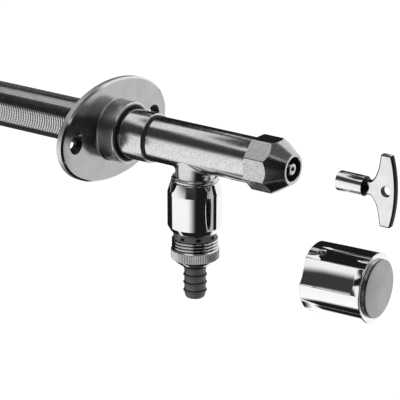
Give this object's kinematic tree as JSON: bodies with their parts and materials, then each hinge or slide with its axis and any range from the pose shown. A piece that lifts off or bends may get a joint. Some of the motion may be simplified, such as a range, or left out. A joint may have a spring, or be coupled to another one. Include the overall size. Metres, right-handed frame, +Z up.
{
  "type": "frost free sillcock",
  "caption": "Chrome frost free wall tap: threaded wall tube, oval flange, barrel body, vacuum breaker with hose union, loose socket key and fluted knob.",
  "frame": {"origin": "centre of the wall flange's back face, on the axis of the tap", "axes": "+X out of the wall along the tap's axis, +Z up with the outlet hanging along -Z, +Y along the flange's width by the right-hand rule"},
  "size_m": [0.4467, 0.112, 0.1363],
  "materials": {
    "steel_thread": "bright plated thread",
    "satin_zinc": "satin grey metal",
    "matt_chrome": "fine-grained matt chrome",
    "mirror_chrome": "mirror chrome",
    "nickel": "satin nickel",
    "brass": "machined brass",
    "stainless": "turned stainless steel",
    "rubber": "black rubber",
    "dark_plastic": "dark grey satin plastic",
    "pale_plastic": "off-white plastic"
  },
  "bodies": {
    "tap": {"wall_tube": "steel_thread", "wall_flange": "satin_zinc", "wall_gasket": "rubber", "hub_seal": "rubber", "adapter_sleeve": "matt_chrome", "tube_o_ring": "rubber", "joint_seal": "rubber", "spigot_o_ring": "rubber", "body": "matt_chrome", "head_nut": "matt_chrome", "gland_bush": "brass", "gland_o_ring": "rubber", "inlet_connector": "brass", "inlet_o_ring": "rubber", "valve_seat": "stainless", "breaker_housing": "mirror_chrome", "breaker_base": "dark_plastic", "outlet_o_ring": "rubber", "check_cage": "pale_plastic"},
    "stem": {"spindle": "stainless", "spindle_o_rings": "rubber", "thrust_washer": "pale_plastic", "retaining_ring": "stainless", "stem_rod": "brass", "stem_pin": "stainless"},
    "plunger": {"valve_plunger": "brass", "seat_washer": "rubber", "washer_screw": "stainless"},
    "poppet": {"check_poppet": "pale_plastic", "poppet_seal": "rubber", "check_spring": "stainless"},
    "air_flap": {"air_ring": "rubber"},
    "tail": {"hose_tail": "dark_plastic", "union_gasket": "rubber"},
    "nut": {"union_nut": "matt_chrome"},
    "key": {"socket_key": "nickel"},
    "knob": {"knob_shell": "mirror_chrome", "knob_driver": "dark_plastic", "knob_disc": "satin_zinc", "knob_screw": "stainless"}
  },
  "joints": [
    {"name": "spindle_turn", "type": "hinge", "parent": "tap", "child": "stem", "pos_m": [0.1, 0, 0], "axis": [1, 0, 0], "range_deg": [0, 900]},
    {"name": "plunger_lift", "type": "slide", "parent": "tap", "child": "plunger", "axis": [1, 0, 0], "range_m": [0, 0.005]},
    {"name": "key_slide", "type": "slide", "parent": "stem", "child": "key", "axis": [1, 0, 0], "range_m": [-0.043, 0]},
    {"name": "knob_turn", "type": "hinge", "parent": "tap", "child": "knob", "pos_m": [0.211, 0, -0.0654], "axis": [0.9976, 0.0698, 0], "range_deg": [0, 900]},
    {"name": "check_lift", "type": "slide", "parent": "tap", "child": "poppet", "axis": [0, 0, -1], "range_m": [0, 0.0035], "stiffness_N_per_m": 200, "springref_m": -0.003, "deforming": ["check_spring"]},
    {"name": "air_lift", "type": "slide", "parent": "tap", "child": "air_flap", "axis": [0, 0, 1], "range_m": [0, 0.0012]},
    {"name": "tail_drop", "type": "slide", "parent": "tap", "child": "tail", "axis": [0, 0, -1], "range_m": [0, 0.0073]},
    {"name": "nut_turn", "type": "hinge", "parent": "tail", "child": "nut", "pos_m": [0.0694, 0, -0.07], "axis": [0, 0, -1], "range_deg": [0, 1440]}
  ],
  "couplings": [
    {"joint": "plunger_lift", "follows": "spindle_turn", "m_per_rad": 0.00031831},
    {"joint": "knob_turn", "follows": "spindle_turn", "ratio": 1},
    {"joint": "tail_drop", "follows": "nut_turn", "m_per_rad": 0.00028871}
  ]
}
